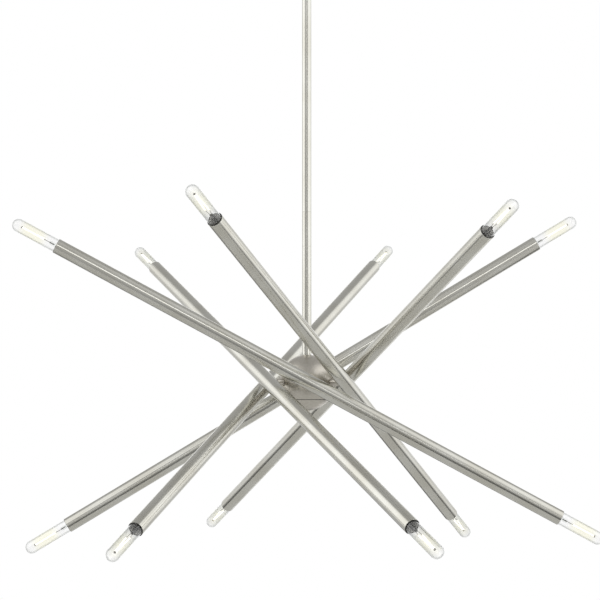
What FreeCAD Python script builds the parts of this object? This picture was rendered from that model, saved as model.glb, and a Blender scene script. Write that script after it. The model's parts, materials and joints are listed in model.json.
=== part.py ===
"""Twelve-light rod chandelier: six crossing tubes set round a ball hub on a rigid stem.

Millimetres, +Z up. The origin is the middle of the ceiling strap, in the plane of
the ceiling, so everything hangs below z = 0. Each sub-part is written to its own file.
"""
import FreeCAD, Part
import math
import os

Vector = FreeCAD.Vector
Rotation = FreeCAD.Rotation
Placement = FreeCAD.Placement

X_AXIS = Vector(1, 0, 0)
Y_AXIS = Vector(0, 1, 0)
Z_AXIS = Vector(0, 0, 1)
ORIGIN = Vector(0, 0, 0)
HALF_ROOT = math.sqrt(0.5)   # of an arc's radius, along and across, to its middle

# ---------------------------------------------------------------- driving dimensions

# Lamp rods: straight tubes with a lamp at each end.
rod_wall = 1.2
rod_length = 951.0
rod_edge_break = 0.25
# Each rod's heading in plan is its even share of a turn plus a trim, and each has its tilt.
rod_heading_trim_deg = (3.5, 2.6, 1.5, 3.1, 0.5, 1.1)
rod_tilt_deg = (31.0, 28.3, 27.2, 28.3, 30.5, 28.8)

# Tubular lamps on a candelabra screw base.
bulb_outer_r = 11.0
bulb_to_rod_gap = 0.5        # all round, in the rod's mouth
bulb_glass_wall = 0.8
bulb_reach = 82.0            # tip of the glass past the rod's mouth
bulb_seat_depth = 14.0       # straight glass that stands inside the rod
bulb_shoulder = 10.0
bulb_shoulder_bulge = 1.25   # of the shoulder's curve, off the straight line
bulb_base_r = 5.9
bulb_base_length = 14.0
bulb_base_wall = 0.4
bulb_neck_insert = 3.0
bulb_tip_length = 3.5
bulb_button_r = 1.8
bulb_button_length = 1.5
filament_start = 24.0        # from the rod's mouth, along the lamp
filament_tip_gap = 18.0      # from the filaments' far ends to the tip of the glass
filament_spread = 3.6        # off the lamp's axis where a filament starts
filament_end_spread = 1.1    # and where it meets the bridge
filament_r = 0.9
bridge_r = 2.0
bridge_length = 1.6
support_wire_r = 0.4
support_wire_spread = 1.5    # off the axis, in the glass stem
lamp_stem_r = 2.9
lamp_stem_flare_r = 4.4      # where it meets the neck
lamp_stem_flare_length = 9.0
lamp_stem_end = 13.0         # past the rod's mouth
lamp_stem_dome = 1.45        # height of the dome that the wires leave

# Lampholders inside the rod ends.
holder_shell_length = 16.0
holder_shell_wall = 0.45
holder_floor = 10.0
holder_contact_r = 3.0
holder_contact_thickness = 2.0
lead_r = 0.8
lead_pitch = 2.0             # between neighbouring leads in a rod

# Stand-offs that carry the rods on the hub.
stand_off_gap = 14.1         # between the ball and the rod
nipple_r = 5.0
nipple_bore_r = 3.4
nipple_thread_depth = 7.4    # into the block inside the rod
nipple_tail = 2.0            # thread past the nut inside the hub
block_length = 26.0
block_bore_r = 4.0
spacer_r = 6.35
washer_r = 9.0
washer_thickness = 1.0
arm_nut_flats = 15.0
arm_nut_thickness = 3.5

# Ball hub, its screwed-on bottom cap and the cap's screw.
hub_outer_r = 47.6
hub_wall = 3.0
hub_seam_drop = 28.9         # seam below the hub's centre
hub_flat_recess = 0.2        # depth of the nuts' flats into the hub's inner face
cap_lip_height = 4.0
cap_lip_wall = 1.6
cap_flat_recess = 0.5
cap_screw_stud_r = 3.0
cap_screw_stud_reach = 10.0     # thread inside the centre fitting
cap_screw_head_r = 4.6
cap_screw_head_height = 6.5

# Centre fitting inside the hub, open-sided so the leads can leave the stem.
fitting_r = 8.5
fitting_top_wall = 12.0
fitting_bottom_wall = 13.0
fitting_window_width = 10.0
fitting_window_height = 38.0

# Stem.
stem_outer_r = 8.0
stem_wall = 1.2
stem_bushing_length = 12.0
stem_nipple_length = 22.0
stem_nipple_end_gap = 1.0    # short of each tapped hole's end
lower_stem_length = 185.0
stem_coupling_length = 59.0
upper_stem_length = 457.0
stem_edge_break = 0.3

# Knuckle swivel between the ceiling strap and the stem.
yoke_barrel_r = 12.0
yoke_fork_r = 11.7
yoke_bore_r = 3.5
yoke_stud_top = 8.0          # below the ceiling plane
yoke_nut_flats = 16.0
yoke_nut_thickness = 4.0
yoke_barrel_length = 30.0
fork_length = 18.0
fork_pin_drop = 9.2          # pin below the barrel
fork_web_gap = 0.3           # tongue to the fork's back web, which stops the tilt
swivel_pin_r = 3.0
tongue_thickness = 8.0
tongue_head_r = 8.6
tongue_neck = 7.0            # below the fork, before the round body
tongue_body_length = 14.0

# Ceiling strap, canopy and its ring.
strap_end_margin = 5.7       # past the slots
strap_width = 20.0
strap_thickness = 2.5
strap_offset = 14.0          # the middle sits this far below the ceiling plane
strap_middle_half = 23.0
strap_slot_half_spacing = 39.7
strap_slot_length = 14.2
strap_slot_r = 2.4
ground_screw_r = 2.4
ground_screw_head_r = 4.6
ground_screw_head_height = 2.6
ground_screw_length = 9.0
ground_screw_slot = 1.2      # width and depth of the driver's slot
canopy_outer_r = 63.5
canopy_depth = 36.0
canopy_wall = 1.0
canopy_edge_r = 4.0
canopy_hole_r = 13.5
ring_outer_r = 18.0
ring_height = 7.0
ring_edge_break = 1.0

# Wiring at the ceiling and in the hub.
supply_count = 3
supply_lead_r = 0.9
supply_gap = 0.1             # between neighbouring leads
supply_bend_r = 5.0
wire_nut_r = 4.6
wire_nut_length = 16.0
wire_nut_tip_r = 2.8
wire_nut_cover = 10.0        # depth of its hollow
wire_end_gap = 1.0           # from a lead's end to the hollow's end
ceiling_nut_place = 18.0     # from the stem's axis to the first connector
ceiling_nut_gap = 1.8
hub_nut_place = 17.0
hub_nut_gap = 1.0
hub_lead_height = 20.0       # of the leads that leave the stem, above the hub's centre

# Named fits.
running_clearance = 0.05     # shaft in its hole, per side
thread_clearance = 0.05      # screwed pieces, per side
push_clearance = 0.1         # pieces pushed into a tube, per side
moving_gap = 0.3             # faces that move past each other
cut_margin = 1.0             # cutters reach this far past what they cut

# ---------------------------------------------------------------- derived places

rod_count = len(rod_tilt_deg)
rod_inner_r = bulb_outer_r + bulb_to_rod_gap
rod_outer_r = rod_inner_r + rod_wall
rod_offset = hub_outer_r + stand_off_gap + rod_outer_r   # hub centre to rod axis, square to the rod
filament_end = bulb_reach - filament_tip_gap
lead_bend_r = rod_inner_r - nipple_thread_depth          # the bend ends where the nipple begins
supply_pitch = 2 * supply_lead_r + supply_gap            # leads side by side in the swivel
supply_bundle_r = supply_pitch / math.sqrt(3)            # three leads round the stem's axis
strap_length = 2 * (strap_slot_half_spacing + strap_slot_length / 2 + strap_end_margin)
ground_screw_x = (yoke_nut_flats / math.sqrt(3) + strap_middle_half) / 2
stud_top_z = -yoke_stud_top
strap_middle_top_z = -strap_offset
strap_middle_bottom_z = strap_middle_top_z - strap_thickness
barrel_top_z = strap_middle_bottom_z - moving_gap
barrel_bottom_z = barrel_top_z - yoke_barrel_length
fork_bottom_z = barrel_bottom_z - fork_length
pin_z = barrel_bottom_z - fork_pin_drop
tongue_body_top_z = fork_bottom_z - tongue_neck
stem_top_z = tongue_body_top_z - tongue_body_length
coupling_top_z = stem_top_z - upper_stem_length
lower_stem_top_z = coupling_top_z - stem_coupling_length
hub_top_z = lower_stem_top_z - lower_stem_length
hub_seat_height = math.sqrt(hub_outer_r**2 - stem_outer_r**2)
hub_z = hub_top_z - hub_seat_height
hub_centre = Vector(0, 0, hub_z)
hub_inner_r = hub_outer_r - hub_wall
arm_flat_y = hub_inner_r - hub_flat_recess
fitting_top = arm_flat_y     # the fitting bears on a flat like the arms' nuts do
fitting_bottom = fitting_top - fitting_top_wall - fitting_window_height - fitting_bottom_wall
canopy_floor_z = -canopy_depth
ring_top_z = canopy_floor_z

# ---------------------------------------------------------------- shape helpers


def bar(radius, start, end):
    """Solid cylinder between two points."""
    span = end - start
    return Part.makeCylinder(radius, span.Length, start, span)


def pipe(outer, inner, start, end):
    """Straight pipe between two points."""
    return bar(outer, start, end).cut(bar(inner, start, end))


def hexagon(flats, start, end):
    """Hexagonal bar between two points, with its size across the flats."""
    span = end - start
    corner_r = flats / math.sqrt(3)
    turns = [math.radians(60 * i) for i in range(7)]
    outline = Part.makePolygon([Vector(corner_r * math.cos(t), corner_r * math.sin(t), 0) for t in turns])
    prism = Part.Face(outline).extrude(Vector(0, 0, span.Length))
    prism.Placement = Placement(start, Rotation(Z_AXIS, span))
    return prism


def revolve(edges, axis):
    """Full revolve of a closed outline about an axis through the origin."""
    return Part.Face(Part.Wire(edges)).revolve(ORIGIN, axis, 360)


def polyline(points):
    """Straight edges through the points, in order."""
    return [Part.makeLine(a, b) for a, b in zip(points, points[1:])]


def arc(start, middle, end):
    """Circular edge through three points."""
    return Part.Arc(start, middle, end).toShape()


def quarter_middle(centre, start, end):
    """Point halfway along the quarter arc from start to end about centre."""
    toward = (start - centre) + (end - centre)
    return centre + toward.normalize() * (start - centre).Length


def lead(radius, path_edges, start, direction):
    """Round lead of the given radius swept along tangent lines and arcs."""
    section = Part.Wire([Part.makeCircle(radius, start, direction)])
    return Part.Wire(path_edges).makePipeShell([section], True, False)


def bent_lead(radius, start, corner, end, bend_r):
    """Lead that runs from start towards corner, bends square, and runs on to end."""
    into = (corner - start).normalize()
    out = (end - corner).normalize()
    bend_in = corner - into * bend_r
    bend_out = corner + out * bend_r
    centre = bend_in + out * bend_r
    edges = [
        Part.makeLine(start, bend_in),
        arc(bend_in, quarter_middle(centre, bend_in, bend_out), bend_out),
        Part.makeLine(bend_out, end),
    ]
    return lead(radius, edges, start, into)


def along(start, direction, distance):
    """Point a distance from start."""
    return start + direction * distance


parts = {}


def add(node, *solids):
    """Keep one sub-part: a single solid, or several solids that share a node."""
    parts[node] = solids[0] if len(solids) == 1 else Part.makeCompound(list(solids))


# ---------------------------------------------------------------- ceiling strap and wiring


def strap():
    """Stamped steel bar: its ends meet the ceiling box, its dropped middle carries the stem."""
    half = strap_length / 2
    width = strap_width / 2
    inner = strap_middle_half
    outer = strap_middle_half + strap_thickness
    profile = [
        Vector(-half, -width, 0), Vector(-half, -width, -strap_thickness),
        Vector(-outer, -width, -strap_thickness), Vector(-outer, -width, strap_middle_bottom_z),
        Vector(outer, -width, strap_middle_bottom_z), Vector(outer, -width, -strap_thickness),
        Vector(half, -width, -strap_thickness), Vector(half, -width, 0),
        Vector(inner, -width, 0), Vector(inner, -width, strap_middle_top_z),
        Vector(-inner, -width, strap_middle_top_z), Vector(-inner, -width, 0),
        Vector(-half, -width, 0),
    ]
    strip = Part.Face(Part.makePolygon(profile)).extrude(Vector(0, strap_width, 0))
    for side in (-1, 1):
        strip = strip.cut(slot(side * strap_slot_half_spacing))
    holes = ((0, nipple_r + running_clearance), (ground_screw_x, ground_screw_r + thread_clearance))
    for place, radius in holes:
        foot = Vector(place, 0, strap_middle_bottom_z - cut_margin)
        strip = strip.cut(bar(radius, foot, Vector(place, 0, 0)))
    return strip


def slot(middle_x):
    """Cutter for one of the strap's screw slots."""
    run = strap_slot_length / 2 - strap_slot_r
    low, high = -strap_thickness - cut_margin, cut_margin
    body = Part.makeBox(2 * run, 2 * strap_slot_r, high - low, Vector(middle_x - run, -strap_slot_r, low))
    for end in (middle_x - run, middle_x + run):
        body = body.fuse(bar(strap_slot_r, Vector(end, 0, low), Vector(end, 0, high)))
    return body


def ground_screw():
    """Pan-head screw, driven down through the strap, for the earth lead."""
    head_bottom = Vector(ground_screw_x, 0, strap_middle_top_z)
    shank = bar(ground_screw_r, head_bottom - Z_AXIS * ground_screw_length, head_bottom)
    head = bar(ground_screw_head_r, head_bottom, head_bottom + Z_AXIS * ground_screw_head_height)
    driver_slot = Part.makeBox(
        2 * ground_screw_head_r, ground_screw_slot, ground_screw_slot,
        head_bottom + Vector(-ground_screw_head_r, -ground_screw_slot / 2,
                             ground_screw_head_height - ground_screw_slot))
    return head.cut(driver_slot).fuse(shank).removeSplitter()


def wire_nut(mouth, direction):
    """Twist-on connector: a tapered cap, blind at its narrow end, hollow at its mouth."""
    cap = Part.makeCone(wire_nut_r, wire_nut_tip_r, wire_nut_length, mouth, direction)
    hollow = bar(supply_lead_r + thread_clearance, mouth, along(mouth, direction, wire_nut_cover))
    return cap.cut(hollow)


def ceiling_wiring():
    """Three supply leads side by side out of the swivel's stud, each with its twist-on connector."""
    solids = []
    run_z = stud_top_z + supply_bend_r
    for i in range(supply_count):
        foot = Vector((i - (supply_count - 1) / 2) * supply_pitch, 0, barrel_bottom_z + moving_gap)
        nut_y = -ceiling_nut_place - i * (2 * wire_nut_r + ceiling_nut_gap)
        rise_end = Vector(foot.x, 0, run_z - supply_bend_r)
        run_start = Vector(foot.x, -supply_bend_r, run_z)
        run_end = Vector(foot.x, nut_y + supply_bend_r, run_z)
        mouth = Vector(foot.x, nut_y, run_z - supply_bend_r)
        first_centre = Vector(foot.x, -supply_bend_r, rise_end.z)
        second_centre = Vector(foot.x, run_end.y, mouth.z)
        edges = [
            Part.makeLine(foot, rise_end),
            arc(rise_end, quarter_middle(first_centre, rise_end, run_start), run_start),
            Part.makeLine(run_start, run_end),
            arc(run_end, quarter_middle(second_centre, run_end, mouth), mouth),
            Part.makeLine(mouth, mouth - Z_AXIS * (wire_nut_cover - wire_end_gap)),
        ]
        solids += [lead(supply_lead_r, edges, foot, Z_AXIS), wire_nut(mouth, -Z_AXIS)]
    return solids


add("ceiling_strap", strap())
add("ground_screw", ground_screw())
add("ceiling_wiring", *ceiling_wiring())

# ---------------------------------------------------------------- canopy and ring


def canopy():
    """Spun pan with a rounded lower edge, open upwards, with a hole for the swivel."""
    outer = canopy_outer_r
    wall = canopy_wall
    edge = canopy_edge_r
    low = canopy_floor_z
    corner = Vector(outer - edge, 0, low + edge)
    inner_edge = edge - wall
    edges = [
        Part.makeLine(Vector(canopy_hole_r, 0, low), Vector(outer - edge, 0, low)),
        arc(Vector(outer - edge, 0, low), corner + Vector(edge * HALF_ROOT, 0, -edge * HALF_ROOT),
            Vector(outer, 0, low + edge)),
        Part.makeLine(Vector(outer, 0, low + edge), Vector(outer, 0, 0)),
        Part.makeLine(Vector(outer, 0, 0), Vector(outer - wall, 0, 0)),
        Part.makeLine(Vector(outer - wall, 0, 0), Vector(outer - wall, 0, low + edge)),
        arc(Vector(outer - wall, 0, low + edge),
            corner + Vector(inner_edge * HALF_ROOT, 0, -inner_edge * HALF_ROOT),
            Vector(outer - edge, 0, low + wall)),
        Part.makeLine(Vector(outer - edge, 0, low + wall), Vector(canopy_hole_r, 0, low + wall)),
        Part.makeLine(Vector(canopy_hole_r, 0, low + wall), Vector(canopy_hole_r, 0, low)),
    ]
    return revolve(edges, Z_AXIS)


def canopy_ring():
    """Threaded ring that holds the canopy up on the swivel's barrel."""
    inner = yoke_barrel_r + running_clearance
    top, bottom = ring_top_z, ring_top_z - ring_height
    outline = [
        Vector(inner, 0, top), Vector(ring_outer_r, 0, top),
        Vector(ring_outer_r, 0, bottom + ring_edge_break), Vector(ring_outer_r - ring_edge_break, 0, bottom),
        Vector(inner, 0, bottom), Vector(inner, 0, top),
    ]
    return revolve(polyline(outline), Z_AXIS)


add("canopy", canopy())
add("canopy_ring", canopy_ring())

# ---------------------------------------------------------------- knuckle swivel


def swivel_yoke():
    """Hollow stud, round barrel and a fork that is open in front and closed at the back."""
    stud = bar(nipple_r, Vector(0, 0, barrel_top_z), Vector(0, 0, stud_top_z))
    barrel = bar(yoke_barrel_r, Vector(0, 0, barrel_bottom_z), Vector(0, 0, barrel_top_z))
    fork = bar(yoke_fork_r, Vector(0, 0, fork_bottom_z), Vector(0, 0, barrel_bottom_z))
    body = stud.fuse([barrel, fork])
    half_slot = tongue_thickness / 2 + moving_gap
    back = tongue_head_r + fork_web_gap
    slot_cut = Part.makeBox(
        back + yoke_barrel_r + cut_margin, 2 * half_slot, fork_length + cut_margin,
        Vector(-back, -half_slot, fork_bottom_z - cut_margin))
    bore = bar(yoke_bore_r, Vector(0, 0, fork_bottom_z), Vector(0, 0, stud_top_z + cut_margin))
    pin_hole = bar(swivel_pin_r, Vector(0, -yoke_barrel_r, pin_z), Vector(0, yoke_barrel_r, pin_z))
    return body.cut([slot_cut, bore, pin_hole]).removeSplitter()


def swivel_tongue():
    """Flat tongue on the pin, running down into a round body tapped for the stem."""
    half = tongue_thickness / 2
    head = bar(tongue_head_r, Vector(0, -half, pin_z), Vector(0, half, pin_z))
    neck = Part.makeBox(
        2 * tongue_head_r, tongue_thickness, pin_z - tongue_body_top_z,
        Vector(-tongue_head_r, -half, tongue_body_top_z))
    neck = neck.common(bar(tongue_head_r, Vector(0, 0, tongue_body_top_z), Vector(0, 0, pin_z)))
    body = bar(stem_outer_r, Vector(0, 0, stem_top_z), Vector(0, 0, tongue_body_top_z))
    solid = head.fuse([neck, body])
    pin_hole = bar(swivel_pin_r + running_clearance, Vector(0, -half - cut_margin, pin_z),
                   Vector(0, half + cut_margin, pin_z))
    tapped = bar(nipple_r + thread_clearance, Vector(0, 0, stem_top_z),
                 Vector(0, 0, stem_top_z + stem_nipple_length / 2))
    lead_hole_r = supply_bundle_r + supply_lead_r + push_clearance
    exit_z = tongue_body_top_z + tongue_neck / 2
    lead_hole = bar(lead_hole_r, Vector(0, 0, stem_top_z), Vector(0, 0, exit_z))
    side_exit = bar(lead_hole_r, Vector(0, 0, exit_z), Vector(tongue_head_r + cut_margin, 0, exit_z))
    return solid.cut([pin_hole, tapped, lead_hole, side_exit]).removeSplitter()


add("swivel_yoke", swivel_yoke())
yoke_nut_bottom = Vector(0, 0, strap_middle_top_z + moving_gap)
yoke_nut_top = yoke_nut_bottom + Z_AXIS * yoke_nut_thickness
add("swivel_lock_nut",
    hexagon(yoke_nut_flats, yoke_nut_bottom, yoke_nut_top).cut(
        bar(nipple_r + thread_clearance, yoke_nut_bottom, yoke_nut_top)))
pin_half = math.sqrt(yoke_fork_r**2 - swivel_pin_r**2)
add("swivel_pin", bar(swivel_pin_r, Vector(0, -pin_half, pin_z), Vector(0, pin_half, pin_z)))
add("swivel_tongue", swivel_tongue())

# ---------------------------------------------------------------- stem


def stem_tube(top_z, length):
    """Stem section: a tube with a tapped bushing brazed into each end."""
    top = Vector(0, 0, top_z)
    bottom = Vector(0, 0, top_z - length)
    body = bar(stem_outer_r, bottom, top)
    body = body.makeChamfer(stem_edge_break, [e for e in body.Edges if isinstance(e.Curve, Part.Circle)])
    bore_top = top - Z_AXIS * stem_bushing_length
    bore_bottom = bottom + Z_AXIS * stem_bushing_length
    tapped = bar(nipple_r + thread_clearance, bottom - Z_AXIS, top + Z_AXIS)
    return body.cut([tapped, bar(stem_outer_r - stem_wall, bore_bottom, bore_top)])


def stem_nipple(middle_z, reach_up, reach_down):
    """Hollow threaded nipple across a joint of the stem."""
    bottom = Vector(0, 0, middle_z - reach_down)
    return pipe(nipple_r, nipple_bore_r, bottom, Vector(0, 0, middle_z + reach_up))


add("upper_stem", stem_tube(stem_top_z, upper_stem_length))
add("stem_coupling", stem_tube(coupling_top_z, stem_coupling_length))
add("lower_stem", stem_tube(lower_stem_top_z, lower_stem_length))
nipple_reach = stem_nipple_length / 2 - stem_nipple_end_gap
hub_wall_at_top = hub_top_z - (hub_z + fitting_top)
add("stem_nipples",
    *[stem_nipple(z, nipple_reach, nipple_reach) for z in (stem_top_z, coupling_top_z, lower_stem_top_z)],
    stem_nipple(hub_top_z, nipple_reach, hub_wall_at_top + fitting_top_wall - stem_nipple_end_gap))

# ---------------------------------------------------------------- hub


def ball(radius):
    """Ball about the hub's centre."""
    return Part.makeSphere(radius, hub_centre)


def rod_place(index):
    """Frame of one rod: +Y out from the hub through the stand-off, +X along the rod, rising."""
    heading = 360 / rod_count * index + rod_heading_trim_deg[index]
    turn = Rotation(Z_AXIS, heading).multiply(Rotation(Y_AXIS, -rod_tilt_deg[index]))
    return Placement(hub_centre, turn)


def placed(shape, place):
    """Copy of a shape moved by a placement."""
    moved = shape.copy()
    moved.Placement = place.multiply(moved.Placement)
    return moved


def below_seam(gap):
    """Slab that holds everything lower than the hub's seam, less a gap."""
    side = 2 * hub_outer_r + 2 * cut_margin
    top = hub_z - hub_seam_drop - gap
    return Part.makeBox(side, side, hub_outer_r, Vector(-side / 2, -side / 2, top - hub_outer_r))


def hub_shell():
    """Upper part of the ball, with a seat for the stem and six arm holes with inner flats."""
    shell = ball(hub_outer_r).cut([ball(hub_inner_r), below_seam(0)])
    seat = bar(stem_outer_r, Vector(0, 0, hub_top_z), Vector(0, 0, hub_top_z + hub_outer_r))
    stem_hole = bar(nipple_r + thread_clearance, hub_centre, Vector(0, 0, hub_top_z + cut_margin))
    fitting_flat = bar(fitting_r + push_clearance, hub_centre, hub_centre + Z_AXIS * fitting_top)
    arm_hole = bar(nipple_r + running_clearance, ORIGIN, Y_AXIS * (hub_outer_r + cut_margin))
    arm_flat = bar(washer_r + moving_gap, ORIGIN, Y_AXIS * arm_flat_y)
    arm_cutter = arm_hole.fuse(arm_flat)
    shell = shell.cut(seat.fuse([stem_hole, fitting_flat]))
    for index in range(rod_count):
        shell = shell.cut(placed(arm_cutter, rod_place(index)))
    return shell


def centre_fitting():
    """Fitting that clamps the hub to the stem: tapped at both ends, open in the middle."""
    top = hub_centre + Z_AXIS * fitting_top
    bottom = hub_centre + Z_AXIS * fitting_bottom
    window_top = fitting_top - fitting_top_wall
    window = Part.makeBox(
        2 * (fitting_r + cut_margin), fitting_window_width, fitting_window_height,
        hub_centre + Vector(-fitting_r - cut_margin, -fitting_window_width / 2,
                            window_top - fitting_window_height))
    stem_tap = bar(nipple_r + thread_clearance, hub_centre + Z_AXIS * window_top, top + Z_AXIS)
    screw_tap = bar(cap_screw_stud_r + thread_clearance, bottom - Z_AXIS, hub_centre)
    return bar(fitting_r, bottom, top).cut([window, stem_tap, screw_tap])


def hub_cap():
    """Bottom of the ball, with a lip that centres it in the shell and a hole for its screw."""
    seam_z = hub_z - hub_seam_drop
    skin = ball(hub_outer_r).cut(ball(hub_inner_r)).common(below_seam(moving_gap))
    lip_outer = math.sqrt(hub_inner_r**2 - hub_seam_drop**2) - moving_gap
    lip_foot = -math.sqrt(hub_outer_r**2 - lip_outer**2) + hub_wall / 2
    lip = pipe(lip_outer, lip_outer - cap_lip_wall, hub_centre + Z_AXIS * lip_foot,
               Vector(0, 0, seam_z + cap_lip_height))
    lip = lip.common(ball(hub_outer_r - hub_wall / 2))
    flat_z = hub_z - hub_outer_r + cap_flat_recess
    below = Vector(0, 0, hub_z - hub_outer_r - cut_margin)
    flat = bar(cap_screw_head_r + moving_gap, below, Vector(0, 0, flat_z))
    hole = bar(cap_screw_stud_r + moving_gap, below, hub_centre)
    return skin.fuse(lip).cut([flat, hole]).removeSplitter()


def cap_screw():
    """Round-headed screw that holds the cap up."""
    head_top = hub_z - hub_outer_r + cap_flat_recess - moving_gap
    stud_top = hub_z + fitting_bottom + cap_screw_stud_reach
    dome_r = cap_screw_head_r
    straight = cap_screw_head_height - dome_r
    waist = Vector(dome_r, 0, head_top - straight)
    centre = Vector(0, 0, head_top - straight)
    edges = polyline([Vector(0, 0, head_top - cap_screw_head_height), Vector(0, 0, stud_top),
                      Vector(cap_screw_stud_r, 0, stud_top), Vector(cap_screw_stud_r, 0, head_top),
                      Vector(dome_r, 0, head_top), waist])
    edges.append(arc(waist, centre + Vector(dome_r * HALF_ROOT, 0, -dome_r * HALF_ROOT),
                     centre - Z_AXIS * dome_r))
    return revolve(edges, Z_AXIS)


def hub_wiring():
    """Supply leads down the stem and out of the fitting's window, each in its connector."""
    solids = []
    high = hub_lead_height
    low = high - 2 * wire_nut_r - hub_nut_gap
    for turn_deg, way, height in ((90, 1, low), (210, -1, high), (330, 1, high)):
        turn = math.radians(turn_deg)
        spot = Vector(supply_bundle_r * math.cos(turn), supply_bundle_r * math.sin(turn), 0)
        top = spot + Z_AXIS * (stem_top_z + stem_nipple_length / 2)
        corner = spot + Z_AXIS * (hub_z + height)
        mouth = Vector(way * hub_nut_place, spot.y, corner.z)
        end = mouth + X_AXIS * way * (wire_nut_cover - wire_end_gap)
        solids.append(bent_lead(supply_lead_r, top, corner, end, supply_bend_r))
        solids.append(wire_nut(mouth, X_AXIS * way))
    return solids


add("hub_shell", hub_shell())
add("centre_fitting", centre_fitting())
add("hub_cap", hub_cap())
add("cap_screw", cap_screw())
add("hub_wiring", *hub_wiring())

# ---------------------------------------------------------------- rods, in each rod's frame

rod_middle = Vector(0, rod_offset, 0)


def rod_tube():
    """The tube itself, with a hole for the stand-off's nipple in the wall that faces the hub."""
    half = X_AXIS * (rod_length / 2)
    body = bar(rod_outer_r, rod_middle - half, rod_middle + half)
    bore = bar(rod_inner_r, rod_middle - half, rod_middle + half)
    body = body.cut(bore)
    rims = [e for e in body.Edges if isinstance(e.Curve, Part.Circle)]
    body = body.makeChamfer(rod_edge_break, rims)
    return body.cut(bar(nipple_r + thread_clearance, ORIGIN, rod_middle))


def stand_off():
    """Block inside the rod, hollow nipple, spacer, washer and nut, as separate solids."""
    half = X_AXIS * (block_length / 2)
    nipple_end = rod_offset - rod_inner_r + nipple_thread_depth
    block = bar(rod_inner_r - push_clearance, rod_middle - half, rod_middle + half)
    block = block.cut([
        bar(block_bore_r, rod_middle - half, rod_middle + half),
        bar(nipple_r + thread_clearance, ORIGIN, rod_middle),
    ])
    spacer = pipe(spacer_r, nipple_r + thread_clearance, Y_AXIS * hub_inner_r, rod_middle)
    spacer = spacer.cut([
        Part.makeSphere(hub_outer_r + moving_gap, ORIGIN),
        bar(rod_outer_r, rod_middle - half, rod_middle + half),
    ])
    washer_out = arm_flat_y - moving_gap
    nut_out = washer_out - washer_thickness
    nut_in = nut_out - arm_nut_thickness
    washer = pipe(washer_r, nipple_r + thread_clearance, Y_AXIS * nut_out, Y_AXIS * washer_out)
    nut = hexagon(arm_nut_flats, Y_AXIS * nut_in, Y_AXIS * nut_out).cut(
        bar(nipple_r + thread_clearance, Y_AXIS * nut_in, Y_AXIS * nut_out))
    nipple = pipe(nipple_r, nipple_bore_r, Y_AXIS * (nut_in - nipple_tail), Y_AXIS * nipple_end)
    return [block, nipple, spacer, washer, nut]


# Lamp and lampholder lie along +X from the rod's mouth, and are then moved to each end.
bulb_neck_x = -bulb_seat_depth - bulb_shoulder
base_end_x = bulb_neck_x - bulb_base_length
button_end_x = base_end_x - bulb_tip_length - bulb_button_length
holder_front_x = bulb_neck_x - moving_gap
holder_floor_x = button_end_x - moving_gap - holder_contact_thickness
holder_back_x = holder_floor_x - holder_floor
holder_bore_r = bulb_base_r + running_clearance + holder_shell_wall + thread_clearance


def bulb_outline(radius, neck_r, tip_x, neck_end_x):
    """Edges of one face of the glass, from its tip back to its neck."""
    straight_x = bulb_reach - bulb_outer_r
    shoulder_x = -bulb_seat_depth
    middle = Vector((shoulder_x + bulb_neck_x) / 2, (radius + neck_r) / 2, 0)
    bulge = Vector(-1, 1, 0) * bulb_shoulder_bulge
    return [
        arc(Vector(tip_x, 0, 0), Vector(straight_x + radius * HALF_ROOT, radius * HALF_ROOT, 0),
            Vector(straight_x, radius, 0)),
        Part.makeLine(Vector(straight_x, radius, 0), Vector(shoulder_x, radius, 0)),
        arc(Vector(shoulder_x, radius, 0), middle + bulge, Vector(bulb_neck_x, neck_r, 0)),
        Part.makeLine(Vector(bulb_neck_x, neck_r, 0), Vector(neck_end_x, neck_r, 0)),
    ]


def bulb_glass():
    """Clear tube with a domed tip, drawn in at the shoulder to a neck that enters the base."""
    neck_outer = bulb_base_r - bulb_base_wall - thread_clearance
    neck_inner = neck_outer - bulb_glass_wall
    neck_end = bulb_neck_x - bulb_neck_insert
    inner_r = bulb_outer_r - bulb_glass_wall
    outside = bulb_outline(bulb_outer_r, neck_outer, bulb_reach, neck_end)
    inside = bulb_outline(inner_r, neck_inner, bulb_reach - bulb_glass_wall, neck_end)
    closing = [
        Part.makeLine(Vector(neck_end, neck_outer, 0), Vector(neck_end, neck_inner, 0)),
        Part.makeLine(Vector(bulb_reach - bulb_glass_wall, 0, 0), Vector(bulb_reach, 0, 0)),
    ]
    return revolve(Part.__sortEdges__(outside + inside + closing), X_AXIS)


def bulb_base():
    """Screw shell with its insulator and button, the glass stem, support wires and filaments."""
    shell_end = Vector(base_end_x, 0, 0)
    neck = Vector(bulb_neck_x, 0, 0)
    shell = pipe(bulb_base_r, bulb_base_r - bulb_base_wall, shell_end, neck)
    insulator = Part.makeCone(
        bulb_base_r - bulb_base_wall, bulb_button_r, bulb_tip_length, shell_end, -X_AXIS)
    button = bar(bulb_button_r, Vector(button_end_x, 0, 0), Vector(base_end_x - bulb_tip_length, 0, 0))
    solids = [shell, insulator, button, glass_stem()]
    bridge_foot = Vector(filament_end + push_clearance, 0, 0)
    solids.append(bar(bridge_r, bridge_foot, bridge_foot + X_AXIS * bridge_length))
    for side in (-1, 1):
        foot = Vector(lamp_stem_end, side * support_wire_spread, 0)
        knee = Vector(filament_start, side * filament_spread, 0)
        end = Vector(filament_end, side * filament_end_spread, 0)
        solids.append(bar(support_wire_r, foot, knee))
        solids.append(bar(filament_r, knee + X_AXIS * push_clearance, end))
    return solids


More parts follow.
